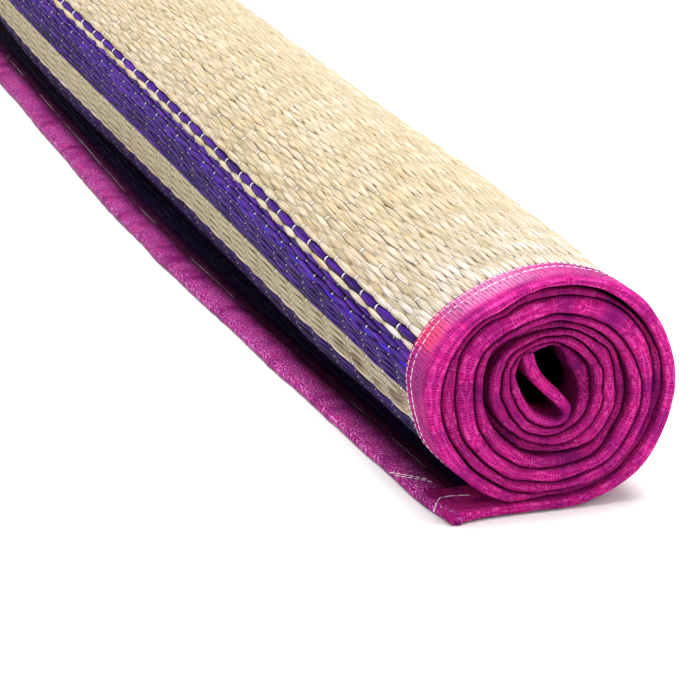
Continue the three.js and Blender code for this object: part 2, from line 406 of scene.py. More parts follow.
def reed_material(name, violet):
    m = Mat(name)
    su, sv, tone_and_shade, painted_edge_shade, row, stain_and_highlight = (m.attr(k) for k in ("su", "sv", "tone_and_shade", "painted_edge_shade", "row", "stain_and_highlight"))
    # strands run along the reed: fine across (su), long along it (sv)
    strand = m.noise(m.vec(m.math("MULTIPLY", su, 1.05), m.math("MULTIPLY", sv, 0.020), m.math("MULTIPLY", row, 3.7)), 1.0, 2.0, 0.6)
    fine = m.noise(m.vec(m.math("MULTIPLY", su, 2.3), m.math("MULTIPLY", sv, 0.10), m.math("MULTIPLY", row, 1.9)), 1.0, 2.0, 0.6)
    fibre = m.math("MULTIPLY_ADD", fine, 0.45, m.math("MULTIPLY", strand, 0.55))
    fleck = m.noise(m.vec(m.math("MULTIPLY", su, 0.7), m.math("MULTIPLY", sv, 0.12), m.math("MULTIPLY", row, 0.31)), 1.0, 2.0, 0.5)
    if violet:
        # the lightest lavender stop is partly the fibres' own colour and partly painted sheen
        c = m.ramp(fibre, [(0.36, (0.006, 0.001, 0.026)), (0.45, (0.034, 0.005, 0.15)), (0.53, (0.062, 0.005, 0.25)),
                           (0.62, (0.125, 0.022, 0.38))])
        # painted shade: towards black for the rows near and in the crevice; also a random darker tone per float
        c = m.mix(m.math("MULTIPLY", tone_and_shade, 0.9), c, (0.005, 0.0015, 0.016))
        # painted shade at the float edges and ties
        c = m.mix(m.math("MULTIPLY", painted_edge_shade, 0.85), c, (0.004, 0.002, 0.014))
        # painted highlight: brighter blue where the value is set on violet rows
        c = m.mix(stain_and_highlight, c, (0.045, 0.012, 0.62))
        m.set(Roughness=0.36, Specular_IOR_Level=0.02)
    else:
        c = m.ramp(fibre, [(0.36, (0.21, 0.13, 0.055)), (0.43, (0.41, 0.315, 0.195)), (0.50, (0.54, 0.44, 0.33)),
                           (0.60, (0.66, 0.57, 0.475))])
        each = m.noise(m.vec(m.math("MULTIPLY", row, 5.1), m.math("MULTIPLY", sv, 0.030), 3.0), 1.0, 1.0, 0.5)
        c = m.mix(1.0, c, m.ramp(each, [(0.32, (1.0, 0.90, 0.74)), (0.44, (1.0, 1.0, 1.0)), (0.54, (0.98, 0.97, 0.94)), (0.66, (0.84, 0.84, 0.72))]), "MULTIPLY")
        c = m.mix(m.math("MULTIPLY_ADD", sv, -1 / 170.0, 1.0, clamp=True), c, m.mix(1.0, c, (1.06, 1.16, 1.48), "MULTIPLY"))
        # darker olive-brown: a random tone per float, painted shade on the recessed in-between rows, and the lower
        # natural band darker
        c = m.mix(m.math("MULTIPLY", tone_and_shade, 0.75), c, (0.34, 0.29, 0.17))
        c = m.mix(m.math("MULTIPLY", m.math("SUBTRACT", fleck, 0.69, clamp=True), 9.0, clamp=True), c, (0.60, 0.30, 0.085))
        # painted shade at the float edges and ties, deeper on the darker rows
        c = m.mix(m.math("MULTIPLY", painted_edge_shade, m.math("MULTIPLY_ADD", m.math("MULTIPLY", tone_and_shade, tone_and_shade), 0.45, 0.58)), c, (0.17, 0.11, 0.035))
        stain = m.math("MULTIPLY", stain_and_highlight, m.math("MULTIPLY_ADD", fine, 4.5, -1.0), clamp=True)
        c = m.mix(stain, c, (0.115, 0.045, 0.014))
        m.set(Roughness=0.52, Specular_IOR_Level=0.14)
    m.base(c)
    m.normal(m.bump(fibre, 0.9, 0.0014))
    return m.m


def sheet_material():
    m = Mat("mat_ground_gap_shade")
    arc, sv = m.attr("arc"), m.attr("sv")
    violet = violet_mask(m, arc)
    n = m.noise(m.vec(m.math("MULTIPLY", arc, 0.5), m.math("MULTIPLY", sv, 0.06), 0.0), 1.0, 3.0, 0.6)
    ridge = m.math("SINE", m.math("MULTIPLY", arc, 2 * math.pi / 1.8))
    # painted shade: the ground under the reeds is dark brown under natural rows and near black under violet ones,
    # standing for the shade in the gaps between reeds
    nat = m.ramp(n, [(0.3, (0.20, 0.13, 0.06)), (0.7, (0.38, 0.28, 0.15))])
    vio = m.ramp(n, [(0.3, (0.004, 0.002, 0.014)), (0.7, (0.012, 0.004, 0.04))])
    m.base(m.mix(violet, nat, vio))
    m.normal(m.bump(ridge, 0.6, 0.0006))
    m.set(Roughness=0.7, Specular_IOR_Level=0.2)
    return m.m


def between(m, v, lo, hi, soft=0.4):
    a = m.math("MULTIPLY", m.math("SUBTRACT", v, lo - soft / 2), 1 / soft, clamp=True)
    b = m.math("MULTIPLY", m.math("SUBTRACT", hi + soft / 2, v), 1 / soft, clamp=True)
    return m.math("MULTIPLY", a, b, clamp=True)


def violet_mask(m, arc):
    out = None
    for lo, hi in VIOLET:
        one = between(m, arc, lo, hi)
        out = one if out is None else m.math("ADD", out, one, clamp=True)
    return out


def tape_material(name, wound):
    """Thin pink net cloth over reed ends: fine open grid, satin threads with painted glints, what lies under it showing
    through, and painted shade from a per-vertex value.
    """
    m = Mat(name)
    su, sv, arc, painted_shade = m.attr("su"), m.attr("sv"), m.attr("arc"), m.attr("painted_shade")
    wander = m.noise(m.vec(m.math("MULTIPLY", su, 0.12), m.math("MULTIPLY", sv, 0.12), 1.0), 1.0, 2.0, 0.5)
    ribs = m.math("MULTIPLY_ADD", m.math("SINE", m.math("MULTIPLY_ADD", su, 2 * math.pi / 1.28, m.math("MULTIPLY", wander, 14.0))), 0.5, 0.5)
    rows = m.math("MULTIPLY_ADD", m.math("SINE", m.math("MULTIPLY_ADD", sv, 2 * math.pi / 1.12, m.math("MULTIPLY", wander, 9.0))), 0.5, 0.5)
    net = m.math("MAXIMUM", m.math("MULTIPLY", m.math("POWER", ribs, 2.0), 0.9), m.math("POWER", rows, 1.7))
    grain = m.noise(m.vec(m.math("MULTIPLY", su, 1.9), m.math("MULTIPLY", sv, 1.4), 4.0), 1.0, 3.0, 0.65)
    warp = m.noise(m.vec(m.math("MULTIPLY", su, 0.8), m.math("MULTIPLY", sv, 0.14), 2.0), 1.0, 2.0, 0.5)
    soft = m.noise(m.vec(m.math("MULTIPLY", su, 0.045), m.math("MULTIPLY", sv, 0.06), 5.0), 1.0, 3.0, 0.55)
    patch = m.noise(m.vec(m.math("MULTIPLY", su, 0.16), m.math("MULTIPLY", sv, 0.10), 8.0), 1.0, 2.0, 0.5)
    if wound:
        level = m.math("MULTIPLY_ADD", net, 0.40, m.math("MULTIPLY_ADD", grain, 0.85, m.math("MULTIPLY_ADD", warp, 0.45, -0.40)))
    else:
        # painted glints: bright speckles standing for the shine of the satin threads
        painted_glint = m.noise(m.vec(m.math("MULTIPLY", su, 0.95), m.math("MULTIPLY", sv, 0.75), 6.0), 1.0, 2.0, 0.7)
        level = m.math("MULTIPLY_ADD", net, 0.34, m.math("MULTIPLY_ADD", grain, 0.90, m.math("MULTIPLY_ADD", painted_glint, 1.60, -0.95)))
    # the lightest stops are painted glints on the satin threads; the darker stops are the cloth's own colour
    if wound:
        stops = [(0.10, (0.090, 0.001, 0.042)), (0.33, (0.37, 0.007, 0.145)), (0.55, (0.56, 0.018, 0.240)), (0.77, (0.74, 0.080, 0.39)), (0.98, (0.92, 0.38, 0.68))]
    else:
        stops = [(0.12, (0.06, 0.001, 0.036)), (0.36, (0.24, 0.005, 0.14)), (0.56, (0.44, 0.018, 0.27)), (0.69, (0.72, 0.12, 0.51)), (0.82, (0.95, 0.50, 0.86))]
    c = m.ramp(level, stops)
    c = m.mix(m.math("MULTIPLY", m.math("SUBTRACT", soft, 0.46, clamp=True), 4.0, clamp=True), c, (0.19, 0.006, 0.125))
    c = m.mix(m.math("MULTIPLY", m.math("SUBTRACT", patch, 0.52, clamp=True), 2.0, clamp=True), c, (0.62, 0.014, 0.20))
    if wound:
        outer = m.attr("outer")
        side = m.math("MULTIPLY", between(m, sv, 9.0, 60.0, 7.0), outer)
        ridge = m.math("MULTIPLY_ADD", m.math("SINE", m.math("MULTIPLY_ADD", arc, 2 * math.pi / 2.1, m.math("MULTIPLY", warp, 3.0))), 0.5, 0.5)
        violet = violet_mask(m, arc)
        warm, cool, pale_and_highlight = m.attr("warm"), m.attr("cool"), m.attr("pale_and_highlight")
        c = m.mix(m.math("MULTIPLY", side, m.math("MULTIPLY", m.math("SUBTRACT", 1.0, ridge), 0.40)), c, (0.27, 0.006, 0.14))
        # paler at the top of the roll: reeds showing through the net, and painted highlight along the ridge crests and
        # threads there
        c = m.mix(m.math("MULTIPLY", side, m.math("MULTIPLY", pale_and_highlight, m.math("MULTIPLY_ADD", ridge, 0.40, m.math("MULTIPLY", level, 0.75)))), c, (0.95, 0.40, 0.66))
        c = m.mix(m.math("MULTIPLY", side, m.math("MULTIPLY", warm, m.math("MULTIPLY_ADD", ridge, 0.60, 0.25))), c, (0.86, 0.055, 0.095))
        c = m.mix(m.math("MULTIPLY", side, m.math("MULTIPLY", cool, m.math("MULTIPLY_ADD", ridge, -0.60, 0.72))), c, (0.13, 0.006, 0.15))
        h = m.math("MULTIPLY", ridge, m.math("MULTIPLY", side, 1.0))
        nrm = m.bump(h, 0.8, 0.0008)
        wr = m.noise(m.vec(m.math("MULTIPLY", su, 0.24), m.math("MULTIPLY", sv, 0.30), 3.0), 1.0, 3.0, 0.65)
        nrm = m.bump(wr, 0.8, 0.0036, nrm)
    else:
        wr = m.noise(m.vec(m.math("MULTIPLY", su, 0.20), m.math("MULTIPLY", sv, 0.06), 3.0), 1.0, 3.0, 0.6)
        nrm = m.bump(wr, 0.7, 0.0030)
    nrm = m.bump(level, 0.7, 0.0007, nrm)
    # painted shade: the colour goes towards black where the per-vertex shade value is low (recessed turns, grooves
    # between turns, the loose end under the roll)
    c = m.mix(m.math("SUBTRACT", 1.0, painted_shade, clamp=True), c, (0.014, 0.001, 0.009))
    m.base(c)
    m.normal(nrm)
    m.set(Roughness=0.40, Specular_IOR_Level=0.01)
    return m.m


def thread_material(name, colour, rough=0.6):
    m = Mat(name)
    tc = m.nt.nodes.new("ShaderNodeTexCoord")
    n = m.noise(tc.outputs["Object"], 900.0, 2.0, 0.6)
    m.base(m.ramp(n, [(0.3, tuple(v * 0.8 for v in colour)), (0.7, colour)]))
    m.normal(m.bump(n, 0.3, 0.0002))
    m.set(Roughness=rough, Specular_IOR_Level=0.35)
    return m.m


# ---------------------------------------------------------------- rows of reeds
# Distances round the outermost turn from the single violet row, downwards positive. Every row is tied down by one of
# two sets of warp threads; a row of set A shows as floats between the A ties, and the rows of set B fill in between.
FIRST_DEG = 157.0
VIOLET = [(-2.1, 2.0), (5.0, 26.3), (43.0, 72.0)]
Y0, Y1 = TAPE_W - 1.2, LENGTH - TAPE_W + 1.2
TIES_A = [51.2, 79.5, 104.7, 133.0, 165.8, 195.0, 224.7, 247.5, 279.3, 304.3, 336.1, 359.3, 387.3, 421.4, 446.8, 478.2,
          503.2, 535.0, 565.7, 590.7]
TIES_B = [61.5, 95.5, 119.2, 147.8, 176.7, 206.7, 235.3, 265.8, 290.2, 324.1, 348.2, 379.3, 404.8, 437.3, 469.1, 493.6,
          522.0, 550.5, 576.4]
g = np.random.default_rng(5)
TIES_A = [TIES_A[0] - 56.6, TIES_A[0] - 28.5] + TIES_A
TIES_B = [TIES_B[0] - 58.2, TIES_B[0] - 28.4] + TIES_B
while TIES_B[-1] < LENGTH + 40:
    TIES_B.append(TIES_B[-1] + 28.65 + g.uniform(-4.0, 4.0))
    if len(TIES_B) >= 2 and TIES_B[-2] > TIES_A[-1]:
        TIES_A.append((TIES_B[-2] + TIES_B[-1]) / 2 + g.uniform(-3.5, 2.5))
while TIES_A[-1] < LENGTH + 40:
    TIES_A.append(TIES_A[-1] + 28.65)
TIES = {"A": np.array(TIES_A), "B": np.array(TIES_B)}
# the warp threads wander along the roll as they go round it
SKEW_ARC = np.array([-30.0, 0.0, 8.0, 12.0, 17.0, 22.0, 29.0, 45.0])
SKEW_Y = np.array([50.0, 110.0, 170.0, 230.0, 300.0, 450.0])
SKEW = np.array([[3, 3, 2, 1, 0, 0], [0, 0, 0, 0, 0, 0], [-1, 0, 2.5, 4, 7, 9], [2, 3.5, 6, 9, 10.6, 11],
                 [-1, 0, 3, 6, 11, 15], [-2, -1.5, 2, 6, 10.5, 15], [-6, -6.5, -3, 0, 8.5, 10], [-8, -8, -5, -2, 5, 8]], float)


def skew(arc, y):
    col = np.array([np.interp(arc, SKEW_ARC, SKEW[:, k]) for k in range(len(SKEW_Y))])
    return np.interp(y, SKEW_Y, col)


# (near place, far place, tie set, half width, height, colour, tie thread, tone and painted shade)
ROWS = [
    (0.0, 0.0, "B", 2.05, 1.40, "v", 2, 0.0),
    (3.6, 3.1, "A", 1.75, 1.25, "n", 0, 0.0),
    (5.8, 5.2, "B", 1.35, 0.85, "v", 1, 0.1), (8.5, 8.0, "A", 1.60, 1.20, "v", 1, 0.0),
    (11.4, 10.6, "B", 1.60, 1.10, "v", 3, 0.0), (13.2, 12.5, "A", 1.15, 0.85, "v", 0, 0.0),
    (15.0, 14.3, "B", 1.45, 1.15, "v", 1, 0.1), (16.9, 16.8, "A", 1.40, 1.10, "v", 1, 0.2),
    (18.6, 19.0, "B", 1.15, 0.80, "v", 0, 0.3), (20.2, 21.0, "A", 1.35, 1.15, "v", 1, 0.2),
    (21.5, 22.8, "B", 1.05, 0.70, "v", 0, 0.4), (22.8, 24.6, "A", 1.30, 1.15, "v", 1, 0.2),
    (24.5, 26.8, "B", 1.25, 0.80, "v", 0, 0.4), (25.7, 28.8, "A", 1.05, 1.00, "v", 0, 0.2),
    (27.5, 31.0, "A", 1.55, 1.15, "n", 3, 0.85), (29.3, 32.8, "B", 1.20, 0.75, "n", 0, 1.0),
    (31.0, 34.6, "A", 1.80, 1.20, "n", 1, 0.85), (32.8, 36.4, "B", 1.20, 0.75, "n", 0, 1.0),
    (34.5, 38.3, "A", 1.80, 1.20, "n", 1, 0.85), (36.2, 40.2, "B", 1.20, 0.75, "n", 0, 1.0),
    (37.9, 42.2, "A", 1.80, 1.20, "n", 1, 0.85), (39.6, 44.0, "B", 1.20, 0.75, "n", 0, 1.0),
    (41.3, 45.8, "A", 1.70, 1.20, "n", 3, 0.1),
]
ROWS += [(43.5 + 1.9 * i, 48.0 + 1.9 * i, "BA"[i % 2], 1.30 if i % 2 else 1.15, 1.1 if i % 2 else 0.7, "v", 1 if i % 2 else 0, 0.4 + 0.08 * i)
         for i in range(15)]
ROWS += [(72.6 + 1.8 * i, 77.0 + 1.8 * i, "BA"[i % 2], 1.6 if i % 2 else 1.1, 1.15 if i % 2 else 0.6, "n", 1 if i % 2 else 0, 0.1 if i % 2 else 0.7)
         for i in range(26)]
UP = [(-4.1, "A", 2.25, 1.35, 2, 0.0), (-6.9, "B", 1.90, 1.05, 0, 0.45), (-9.5, "A", 1.95, 1.30, 1, 0.0), (-11.1, "B", 1.0, 0.75, 0, 0.8),
      (-12.6, "A", 1.90, 1.30, 1, 0.05), (-15.9, "B", 2.30, 1.15, 2, 0.40), (-18.9, "A", 1.90, 1.30, 1, 0.05), (-20.4, "B", 1.1, 0.80, 0, 0.8),
      (-22.0, "A", 1.90, 1.25, 1, 0.0), (-23.9, "B", 1.25, 0.85, 0, 0.8), (-26.0, "A", 2.10, 1.30, 1, 0.05), (-29.2, "B", 2.20, 1.15, 3, 0.30),
      (-32.1, "A", 1.95, 1.20, 1, 0.05), (-34.0, "B", 1.2, 0.85, 0, 0.75), (-35.8, "A", 1.98, 1.20, 1, 0.0), (-37.6, "B", 1.2, 0.85, 0, 0.75),
      (-39.4, "A", 1.98, 1.20, 1, 0.0), (-41.7, "B", 1.95, 1.10, 0, 0.45), (-44.3, "A", 2.10, 1.30, 3, 0.0), (-46.8, "B", 1.85, 1.05, 0, 0.4)]
g = np.random.default_rng(21)
at_ = -46.9
k = 0
while at_ > -236:
    at_ -= 1.78 + g.uniform(-0.1, 0.1)
    UP.append((at_, "A", 1.98 + g.uniform(-0.12, 0.14), 1.25, 1, g.uniform(0, 0.15)))
    wide_b = k % 6 == 4
    at_ -= (1.95 if wide_b else 1.78) + g.uniform(-0.1, 0.1)
    UP.append((at_, "B", 1.45 if wide_b else 1.2, 0.95 if wide_b else 0.85, 3 if wide_b else 0, 0.6))
    k += 1
ROWS = [(p_, p_, s_, max(h_, 1.55), max(l_, 1.0), "n", t_, min(c_, 0.6)) for p_, s_, h_, l_, t_, c_ in UP[::-1]] + ROWS

# direction for a distance round the turn, at any place along the roll
GRID_Y = np.arange(0, LENGTH + 0.1, 6.0)
GRID_A = np.arange(-240.0, 116.0, 0.5)
table_deg = np.arange(-76, 262.1, 1.0)
tx, tz = outline(table_deg[None, :], GRID_Y[:, None], TAPE_PROUD)
table_arc = np.concatenate([np.zeros((len(GRID_Y), 1)), np.cumsum(np.hypot(np.diff(tx, axis=1), np.diff(tz, axis=1)), axis=1)], 1)
first_arc = np.array([np.interp(FIRST_DEG, table_deg, r_) for r_ in table_arc])
DEG = np.array([np.interp(GRID_A + first_arc[i], table_arc[i], table_deg) for i in range(len(GRID_Y))])


def deg_of(arc, y):
    fy = np.clip(y / 6.0, 0, len(GRID_Y) - 1.001)
    fa = np.clip((arc + 240.0) / 0.5, 0, len(GRID_A) - 1.001)
    iy, ia = fy.astype(int), fa.astype(int)
    ty, ta = fy - iy, fa - ia
    return ((DEG[iy, ia] * (1 - ta) + DEG[iy, ia + 1] * ta) * (1 - ty) + (DEG[iy + 1, ia] * (1 - ta) + DEG[iy + 1, ia + 1] * ta) * ty)


def crevice_deg(y, inset, thick):
    deg = np.arange(200, 264, 0.5)
    out = []
    for yy in np.atleast_1d(y):
        z = outline(deg, yy, inset)[1]
        low = np.nonzero(z < thick + 0.5)[0]
        out.append(deg[low[0]] if len(low) else 264.0)
    return np.array(out)


crevice = crevice_deg(GRID_Y, TAPE_PROUD, 3.0)
limit_hi = np.interp(np.arange(len(GRID_Y)), np.arange(len(GRID_Y)),
                     [np.interp(c - 1.0, table_deg, r_) - f_ for c, r_, f_ in zip(crevice, table_arc, first_arc)])
limit_lo = 3.0 - first_arc
far_share = Curve([0, 150, 230, 300, 400, 600, 1200], [0.0, 0.0, 0.38, 0.58, 0.68, 1.0, 1.0])
STEPS_A = np.array([0.0, 0.05, 0.16, 0.33, 0.5, 0.67, 0.84, 0.95])
STEPS_B = np.array([0.0, 0.08, 0.27, 0.5, 0.73, 0.92])

reed_parts = {k_: dict(v=[], q=[], t=[], a=[], n=0) for k_ in ("n1", "n2", "n3", "v")}
tick_list = []


def row_stations(ties, steps):
    y = (ties[:-1, None] + np.diff(ties)[:, None] * steps[None, :]).ravel()
    y = y[(y > Y0 + 0.4) & (y < Y1 - 0.4)]
    return np.concatenate([[Y0], y, [Y1]])


def add_row(idx, place, arc_c, ties, y, half, lift, kind, thread, row_tone_and_shade, key, slant_r=1.0, across=None):
    """place(arc, y, rise) gives x, z; arc_c is the row's middle at each y."""
    g = np.random.default_rng(1000 + idx)
    across = np.array([-1.0, -0.6, 0.0, 0.6, 1.0]) if across is None else across
    i = np.clip(np.searchsorted(ties, y + 1e-7, side="right") - 1, 0, len(ties) - 2)
    f = np.clip((y - ties[i]) / (ties[i + 1] - ties[i]), 0, 1)
    m_ = len(ties)
    length = (ties[i + 1] - ties[i]) / 28.7
    peak = g.uniform(0.40, 0.60, m_)[i]
    wf = np.where(f < peak, f / peak * 0.5, 0.5 + (f - peak) / (1 - peak) * 0.5)
    bulge = np.sin(math.pi * wf) ** 0.62
    bulge[f < 1e-6] = 0
    single = thread == 2
    w_min = half * (0.62 if single else (0.40 if row_tone_and_shade < 0.5 else 0.55))
    w = w_min + (half * g.uniform(0.88, 1.12, m_)[i] - w_min) * bulge
    hv = g.uniform(0.72, 1.22, m_)[i]
    slant = g.uniform(-0.55, 0.55) * slant_r
    shift = (g.uniform(-0.22, 0.22, m_)[i] + slant * (f - 0.5)) * bulge
    top = lift * (0.32 + 0.74 * bulge * hv)
    arc = (arc_c + shift)[:, None] + across[None, :] * w[:, None]
    dome = np.sqrt(np.maximum(0, 1 - (0.97 * across) ** 2))
    wob = 0.09 * smooth_noise(y[:, None] + np.arange(len(across))[None, :] * 37.0, 8.0, 90 + idx)
    rise = 0.16 + (top[:, None] - 0.16) * dome[None, :] + wob
    x, z = place(arc, np.repeat(y[:, None], len(across), 1), rise)
    # a random darker tone per float on top of the row's value; for rows that lie recessed or in the crevice that value
    # is painted shade
    tone_and_shade = np.clip(row_tone_and_shade + g.beta(1.2, 3.4, m_)[i] * 0.75 + 0.12 * smooth_noise(y, 160.0, 700 + idx // 4), 0, 1)
    stain_and_highlight = np.zeros(len(y))
    if kind == "n" and 29 < arc_c[0] < 42.5:
        for c, wd, a0, st in ((58, 11, 36.0, 1.0), (88, 7, 38.0, 0.8), (118, 12, 36.0, 1.0), (45, 6, 32.0, 0.8), (142, 9, 35.5, 0.6)):
            stain_and_highlight = np.maximum(stain_and_highlight, st * np.exp(-((y - c) / wd) ** 2) * math.exp(-((arc_c[0] - a0) / 2.9) ** 2))
    # painted highlight: brighter blue at the float centres of one violet row, near the near end
    if kind == "v" and 12 < arc_c[0] < 14:
        stain_and_highlight = np.maximum(stain_and_highlight, 0.85 * np.clip(bulge * 1.6 - 0.75, 0, 1) * np.exp(-(y / 420.0) ** 2))
    part = reed_parts[key]
    return g, f, w, top, x, z, tone_and_shade, stain_and_highlight, bulge, dome


def put_row(key, s0, s1, x, y, z, arc_attr, tone_and_shade, stain_and_highlight, bulge, across, row_no):
    part = reed_parts[key]
    n, m_ = s1 - s0, x.shape[1]
    ring = np.stack([x[s0:s1], np.repeat(y[s0:s1, None], m_, 1), z[s0:s1]], -1).reshape(-1, 3)
    quads, tris = sweep_faces(n, m_, part["n"])
    # painted shade: darker at the float edges and where the floats dip under a tie
    painted_edge_shade = np.clip(np.abs(across)[None, :] ** 3 * (0.20 + 0.5 * (1 - bulge[s0:s1]))[:, None] + ((1 - bulge[s0:s1]) ** 1.4)[:, None] * 0.72, 0, 1)
    at = np.stack([np.repeat(arc_attr[None, :], n, 0), np.repeat(y[s0:s1, None], m_, 1), np.repeat(tone_and_shade[s0:s1, None], m_, 1), painted_edge_shade,
                   np.full((n, m_), row_no), np.repeat(stain_and_highlight[s0:s1, None], m_, 1)], -1).reshape(-1, 6)
    part["v"].append(ring)
    part["q"].append(quads)
    part["t"].append(tris)
    part["a"].append(at)
    part["n"] += n * m_


def runs_of(ok):
    out, start = [], None
    for i, v in enumerate(ok):
        if v and start is None:
            start = i
        if start is not None and (not v or i == len(ok) - 1):
            end = i + 1 if v else i
            if end - start >= 4:
                out.append((start, end))
            start = None
    return out


def on_roll(arc, y, rise):
    return outline(deg_of(arc, y), y, TAPE_PROUD + 1.15 - rise)


for idx, (near, far, ties_of, half, lift, kind, thread, row_tone_and_shade) in enumerate(ROWS):
    mid = (near + far) / 2
    ties = TIES[ties_of] + skew(mid, TIES[ties_of])
    main = ties_of == "A" or half > 1.3
    y = row_stations(ties, STEPS_A if main else STEPS_B)
    across = np.array([-1.0, -0.6, 0.0, 0.6, 1.0]) if main else np.array([-1.0, -0.42, 0.42, 1.0])
    drift = 0.22 * smooth_noise(y, 60.0, 40 + idx) + 0.30 * (smooth_noise(y, 110.0, 540 + idx // 5) * (1 - idx % 5 / 5) + smooth_noise(y, 110.0, 541 + idx // 5) * (idx % 5 / 5))
    if abs(mid) < 5:
        drift *= 0.5
    arc_c = near + (far - near) * far_share(y) + drift
    key = "v" if kind == "v" else ("n1" if mid > -60 else ("n2" if mid > -130 else "n3"))
    g, f, w, top, x, z, tone_and_shade, stain_and_highlight, bulge, dome = add_row(idx, on_roll, arc_c, ties, y, half, lift, kind, thread, row_tone_and_shade, key, across=across)
    lo, hi = np.interp(y, GRID_Y, limit_lo), np.interp(y, GRID_Y, limit_hi)
    ok = (arc_c > lo) & (arc_c < hi) & (z.min(axis=1) > 0.9)
    for s0, s1 in runs_of(ok):
        put_row(key, s0, s1, x, y, z, across * half, tone_and_shade, stain_and_highlight, bulge, across, idx * 1.37)
        if thread:
            for i in range(s0, s1):
                if f[i] < 1e-6 and Y0 + 2 < y[i] < Y1 - 2:
                    tick_list.append((y[i], arc_c[i], w[i], top[i], thread, kind))

# reeds on top of the loose end, between its tape and the crevice, painted near black as the crevice's shade
EDGE_TAPE_W = 23.0
crevice_x = np.array([outline(c, yy, TAPE_PROUD)[0] for c, yy in zip(crevice, GRID_Y)])


def on_floor(arc, y, rise):
    return edge_at(y) + EDGE_TAPE_W + arc, 2.55 + rise


for j in range(26):
    ties_of = "AB"[j % 2]
    half = 1.45 if j % 2 == 0 else 1.05
    ties = TIES[ties_of] + 6.0
    y = row_stations(ties, STEPS_B)
    arc_c = 0.6 + 1.85 * j + 0.2 * smooth_noise(y, 60.0, 1400 + j)
    across = np.array([-1.0, -0.42, 0.42, 1.0])
    g, f, w, top, x, z, tone_and_shade, stain_and_highlight, bulge, dome = add_row(3000 + j, on_floor, arc_c, ties, y, half, 0.9 if j % 2 == 0 else 0.6, "f", 0, 1.0, "v", across=across)
    ok = x.max(axis=1) < np.interp(y, GRID_Y, crevice_x) + 2.0
    for s0, s1 in runs_of(ok):
        put_row("v", s0, s1, x, y, z, across * half, tone_and_shade, stain_and_highlight, bulge, across, 400 + j * 1.37)

mat_reed = reed_material("reed_natural", False)
mat_violet = reed_material("reed_violet", True)
pieces = {}
for key, name, material in (("n1", "reeds_front", mat_reed), ("n2", "reeds_top", mat_reed), ("n3", "reeds_back", mat_reed), ("v", "reeds_violet", mat_violet)):
    part = reed_parts[key]
    v = np.concatenate(part["v"])
    at = np.concatenate(part["a"])
    q, t = outward(np.concatenate(part["q"]), np.concatenate(part["t"]), v)
    pieces[name] = build(name, v, q, t, dict(su=at[:, 0], sv=at[:, 1], tone_and_shade=at[:, 2], painted_edge_shade=at[:, 3], row=at[:, 4], stain_and_highlight=at[:, 5]), material)
    print(name, "triangles", 2 * len(q) + len(t))

# ---------------------------------------------------------------- warp thread where it crosses over a reed
tv, tq, tt = [], [], []
count = 0
g = np.random.default_rng(77)
for yy, pos, w, top, thread, kind in tick_list:
    bold = thread in (2, 3)
    TA = np.array([-1.0, -0.5, 0.0, 0.5, 1.0]) if bold else np.array([-1.0, -0.35, 0.35, 1.0])
    wy = {1: 0.42, 2: 0.62, 3: 0.52}[thread] * g.uniform(0.8, 1.15) * (0.78 if kind == "v" and thread == 1 else 1.0)
    reach = w * (1.12 if bold else 0.95) + 0.15
    lean = g.uniform(-0.3, 0.3) + (0.5 if pos > 6 else 0.0)
    arcs = pos + TA * reach
    yc = yy + lean * TA
    arch = np.sqrt(1 - (TA * 0.9) ** 2)
    hgt = 0.1 + (top + {1: 0.26, 2: 0.50, 3: 0.38}[thread]) * arch
    dy_ = np.array([-wy, -wy * 0.45, wy * 0.45, wy]) if bold else np.array([-wy, 0.0, wy])
    dz_ = np.array([-0.45, 0.0, 0.0, -0.45]) if bold else np.array([-0.4, 0.0, -0.4])
    Y = yc[:, None] + dy_[None, :]
    x, z = on_roll(np.repeat(arcs[:, None], len(dy_), 1), Y, hgt[:, None] + dz_[None, :])
    ring = np.stack([x, Y, z], -1).reshape(-1, 3)
    quads, tris = sweep_faces(len(TA), len(dy_), count)
    tv.append(ring)
    tq.append(quads)
    tt.append(tris)
    count += len(ring)
tv = np.concatenate(tv)
q, t = outward(np.concatenate(tq), np.concatenate(tt), tv)
pieces["warp_thread"] = build("warp_thread", tv, q, t, None, thread_material("warp_white", (0.74, 0.73, 0.74), 0.5))
print("warp_thread triangles", 2 * len(q) + len(t), "ties", len(tick_list))

